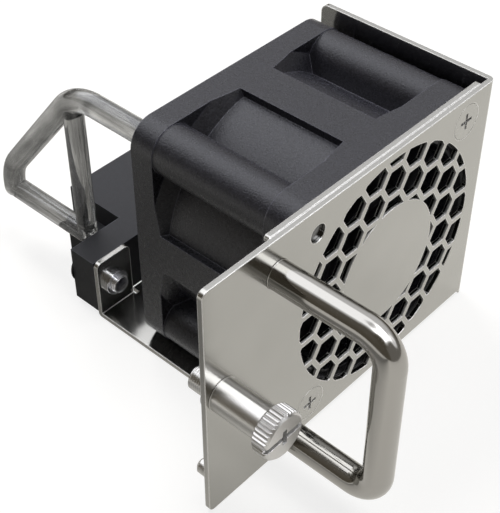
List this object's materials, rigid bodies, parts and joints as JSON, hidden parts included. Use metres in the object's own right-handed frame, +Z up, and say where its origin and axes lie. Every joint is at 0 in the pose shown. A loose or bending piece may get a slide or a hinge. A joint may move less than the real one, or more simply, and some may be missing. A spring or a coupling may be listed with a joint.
{
  "type": "server fan module",
  "caption": "Pull-out fan module: small axial fan on a folded metal tray with honeycomb vent, handle, captive thumbscrew, light pipe and rear plug-in connector.",
  "frame": {"origin": "on the underside of the tray's floor, straight below the centre of the fan", "axes": "+X to the right along the front plate as the service person sees it, +Y back into the chassis along the fan's axis, +Z up"},
  "size_m": [0.0595, 0.0858, 0.041],
  "materials": {
    "plate_steel": "satin sheet with a blurred reflection",
    "handle_steel": "polished bar",
    "screw_steel": "zinc-plated",
    "ferrule_steel": "fine turned",
    "knob_steel": "fluted and polished",
    "thumbscrew_steel": "turned thread",
    "spring_steel": "drawn wire",
    "gasket_rubber": "foam",
    "fan_plastic": "fine moulded grain",
    "impeller_plastic": "satin moulding",
    "yoke_steel": "deep-drawn cup",
    "magnet_ferrite": "bonded ferrite",
    "contact_brass": "machined",
    "bearing_steel": "ground",
    "insulator_plastic": "moulded",
    "coil_copper": "enamelled wire",
    "board_green": "solder mask",
    "plate_screw_steel": "plated",
    "clear_acrylic": "clear moulding",
    "connector_plastic": "glass-filled moulding",
    "washer_dark": "dark finish"
  },
  "bodies": {
    "chassis": {"tray": "plate_steel", "handle": "handle_steel", "handle_screws": "screw_steel", "thumbscrew_ferrule": "ferrule_steel", "thumbscrew_spring": "spring_steel", "locating_pin": "ferrule_steel", "fan_gasket": "gasket_rubber", "fan_housing": "fan_plastic", "bearing_tube": "contact_brass", "bearing_front": "bearing_steel", "bearing_rear": "bearing_steel", "stator_core": "yoke_steel", "stator_insulators": "insulator_plastic", "stator_coils": "coil_copper", "motor_board": "board_green", "bearing_cap": "impeller_plastic", "fan_screws": "plate_screw_steel", "fan_inserts": "contact_brass", "light_pipe": "clear_acrylic", "connector_housing": "connector_plastic", "connector_contacts": "contact_brass", "connector_screws": "screw_steel", "connector_washers": "washer_dark", "clinch_nuts": "screw_steel"},
    "rotor": {"impeller": "impeller_plastic", "rotor_yoke": "yoke_steel", "rotor_magnet": "magnet_ferrite", "rotor_shaft": "thumbscrew_steel", "shaft_clip": "spring_steel", "preload_spring": "spring_steel"},
    "thumbscrew_carrier": {"thumbscrew_washer": "screw_steel"},
    "thumbscrew": {"thumbscrew_shaft": "thumbscrew_steel", "thumbscrew_knob": "knob_steel"}
  },
  "joints": [
    {"name": "rotor_spin", "type": "hinge", "parent": "chassis", "child": "rotor", "pos_m": [0, 0, 0.0208], "axis": [0, 1, 0], "continuous": true},
    {"name": "thumbscrew_travel", "type": "slide", "parent": "chassis", "child": "thumbscrew_carrier", "axis": [0, -1, 0], "range_m": [0, 0.0034], "deforming": ["thumbscrew_spring"]},
    {"name": "thumbscrew_turn", "type": "hinge", "parent": "thumbscrew_carrier", "child": "thumbscrew", "pos_m": [-0.03375, -0.02, 0.0218], "axis": [0, -1, 0], "range_deg": [0, 1750]}
  ],
  "couplings": [
    {"joint": "thumbscrew_turn", "follows": "thumbscrew_travel", "rad_per_m": 8976}
  ]
}
